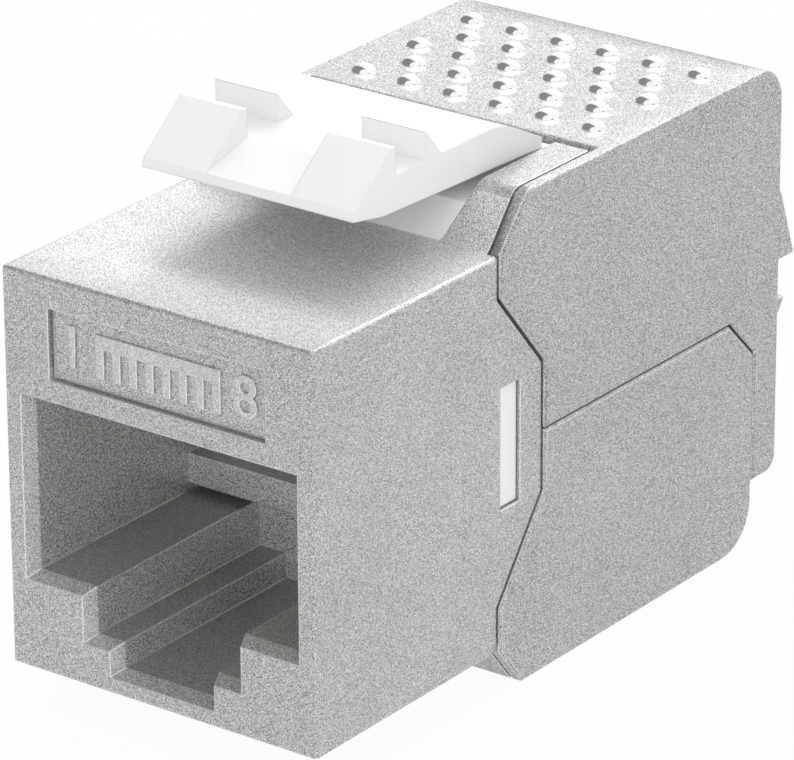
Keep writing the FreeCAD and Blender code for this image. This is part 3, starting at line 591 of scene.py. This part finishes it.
def contact_mark(material):
    """Raised mark in the label recess: the socket's eight contacts as a comb, numbered at its ends."""
    form = bmesh.new()
    floor = LABEL_MIDDLE + Vector((0, LABEL_FLOOR, 0))
    front = floor.y - MARK_RISE
    back = floor.y + MARK_SINK
    for number in range(BAR_COUNT):
        middle = (number - (BAR_COUNT - 1) / 2) * BAR_PITCH
        low = Vector((middle - BAR_WIDTH / 2, front, floor.z - MARK_HEIGHT / 2))
        high = Vector((middle + BAR_WIDTH / 2, back, floor.z + MARK_HEIGHT / 2 - BEAM_HEIGHT))
        add_box(form, low, high)
    beam_half = ((BAR_COUNT - 1) * BAR_PITCH + BAR_WIDTH) / 2
    add_box(form, Vector((-beam_half, front, floor.z + MARK_HEIGHT / 2 - BEAM_HEIGHT)),
            Vector((beam_half, back, floor.z + MARK_HEIGHT / 2)))
    upright = Matrix.Rotation(math.radians(90), 4, "X")
    for text, side in (("1", -1), (str(BAR_COUNT), 1)):
        digit = number_mesh(text, MARK_HEIGHT)
        place = Vector((side * NUMBER_PLACE, (front + back) / 2, floor.z))
        digit.transform(Matrix.Translation(place) @ upright)
        form.from_mesh(digit)
        bpy.data.meshes.remove(digit)
    new_piece("contact_mark", mesh_of(form, "contact_mark"), material, "housing")


def camera():
    """The photo's camera, with the part of its picture that the photo shows."""
    data = bpy.data.cameras.new("photo_camera")
    data.sensor_fit = "HORIZONTAL"
    data.sensor_width = SENSOR_WIDTH
    data.lens = FOCAL_PIXELS / PHOTO_WIDTH * SENSOR_WIDTH
    data.shift_x = (PHOTO_WIDTH / 2 - CENTRE_PIXEL[0]) / PHOTO_WIDTH
    data.shift_y = (CENTRE_PIXEL[1] - PHOTO_HEIGHT / 2) / PHOTO_WIDTH
    data.clip_start = CLIP_NEAR
    data.clip_end = CLIP_FAR
    turn = math.radians(CAMERA_AZIMUTH)
    rise = math.radians(CAMERA_ELEVATION)
    roll = math.radians(CAMERA_ROLL)
    right = Vector((math.cos(turn), math.sin(turn), 0))
    back = Vector((math.sin(turn) * math.cos(rise), -math.cos(turn) * math.cos(rise), math.sin(rise)))
    up = back.cross(right)
    across = right * math.cos(roll) + up * math.sin(roll)
    upright = up * math.cos(roll) - right * math.sin(roll)
    turned = Matrix((across, upright, back)).transposed().to_4x4()
    obj = bpy.data.objects.new("photo_camera", data)
    obj.matrix_world = Matrix.Translation(CAMERA_PLACE) @ turned
    bpy.context.scene.collection.objects.link(obj)
    bpy.context.scene.camera = obj


def seen_in_gloss(nodes):
    """1 for rays in gloss and through glass, and 0 for all others."""
    path = nodes.node("ShaderNodeLightPath").outputs
    return nodes.math("MAXIMUM", path["Is Glossy Ray"], path["Is Transmission Ray"])


def seen_directly(nodes):
    """1 for rays from the camera, in gloss and through glass, and 0 for light that only bounces."""
    path = nodes.node("ShaderNodeLightPath").outputs
    return nodes.math("MAXIMUM", path["Is Camera Ray"], seen_in_gloss(nodes))


def sky():
    """White world, softer as a light than it looks, with a dark side in gloss."""
    world = bpy.data.worlds.new("studio")
    world.use_nodes = True
    bpy.context.scene.world = world
    nodes = Nodes(world.node_tree)
    background = world.node_tree.nodes["Background"]
    background.inputs["Color"].default_value = WHITE
    level = nodes.remap(seen_directly(nodes), 0.0, 1.0, SKY_LEVEL, BACKGROUND_LEVEL)
    nodes.link(nodes.math("MULTIPLY", level, dark_card(nodes)), background.inputs["Strength"])


def dark_card(nodes):
    """Level of the world on its dark side for rays in gloss, and 1 elsewhere."""
    away = nodes.node("ShaderNodeTexCoord").outputs["Generated"]
    cover = nodes.remap(nodes.dot(away, CARD_FROM.normalized()), CARD_OUTER, CARD_INNER, 0.0, 1.0,
                        interpolation_type="SMOOTHSTEP")
    gloss = nodes.node("ShaderNodeLightPath").outputs["Is Glossy Ray"]
    return nodes.remap(nodes.math("MULTIPLY", cover, gloss), 0.0, 1.0, 1.0, CARD_LEVEL)


def lamp(name, away, spread, power):
    """A soft lamp far away in one direction."""
    data = bpy.data.lights.new(name, "SUN")
    data.angle = spread
    data.energy = power
    obj = bpy.data.objects.new(name, data)
    obj.rotation_mode = "QUATERNION"
    obj.rotation_quaternion = away.to_track_quat("Z", "Y")
    bpy.context.scene.collection.objects.link(obj)


def open_floor(nodes):
    """1 on the open floor, and 0 where the jack stands on it."""
    coordinates = nodes.node("ShaderNodeTexCoord").outputs["Object"]
    place = nodes.node("ShaderNodeSeparateXYZ", {"Vector": coordinates}).outputs
    outside = 0.0
    for name, low, high in FOOTPRINT:
        for operation, reach in (("LESS_THAN", low), ("GREATER_THAN", high)):
            outside = nodes.math("MAXIMUM", outside, nodes.math(operation, place[name], reach))
    return outside


def white_share(nodes):
    """Share of plain white in the floor: the same all over for the camera, only the open floor in gloss."""
    gloss = nodes.math("MULTIPLY", seen_in_gloss(nodes), open_floor(nodes))
    camera_ray = nodes.node("ShaderNodeLightPath").outputs["Is Camera Ray"]
    return nodes.math("MULTIPLY", nodes.math("MAXIMUM", camera_ray, gloss), FLOOR_WHITE_SHARE)


def floor():
    """Pale floor that keeps a little of the jack's shadow, and looks as white as the sky."""
    mesh = bpy.data.meshes.new("floor")
    corners = [(x * FLOOR_REACH, y * FLOOR_REACH, 0) for x, y in ((-1, -1), (1, -1), (1, 1), (-1, 1))]
    mesh.from_pydata(corners, [], [(0, 1, 2, 3)])
    obj = bpy.data.objects.new("floor", mesh)
    bpy.context.scene.collection.objects.link(obj)
    material = bpy.data.materials.new("pale_floor")
    material.use_nodes = True
    nodes = Nodes(material.node_tree)
    material.node_tree.nodes.clear()
    lit = nodes.node("ShaderNodeBsdfDiffuse", {"Color": FLOOR_COLOUR})
    white = nodes.node("ShaderNodeEmission", {"Strength": BACKGROUND_LEVEL})
    both = nodes.node("ShaderNodeMixShader")
    for socket, source in zip(both.inputs, (white_share(nodes), lit.outputs[0], white.outputs[0])):
        nodes.link(source, socket)
    nodes.node("ShaderNodeOutputMaterial", {"Surface": both.outputs[0]})
    mesh.materials.append(material)


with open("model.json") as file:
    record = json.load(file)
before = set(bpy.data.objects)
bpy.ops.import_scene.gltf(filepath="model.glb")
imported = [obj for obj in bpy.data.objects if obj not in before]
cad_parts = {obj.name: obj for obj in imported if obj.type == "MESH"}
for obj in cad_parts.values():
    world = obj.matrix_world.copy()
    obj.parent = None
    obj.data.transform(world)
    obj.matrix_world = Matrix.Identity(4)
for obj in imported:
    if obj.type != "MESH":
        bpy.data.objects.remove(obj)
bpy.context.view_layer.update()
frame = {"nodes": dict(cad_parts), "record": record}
camera()
sky()
lamp("key", KEY_FROM, KEY_SPREAD, KEY_POWER)
lamp("fill", FILL_FROM, FILL_SPREAD, FILL_POWER)
floor()
finishes = dress(frame)
smooth_cover(frame, finishes["cover_zinc"])
grip_bumps()
contact_mark(zinc("mark_zinc", level=0.60, grain_depth=0.28, roughness=0.45))
bpy.context.scene.view_settings.view_transform = "Standard"
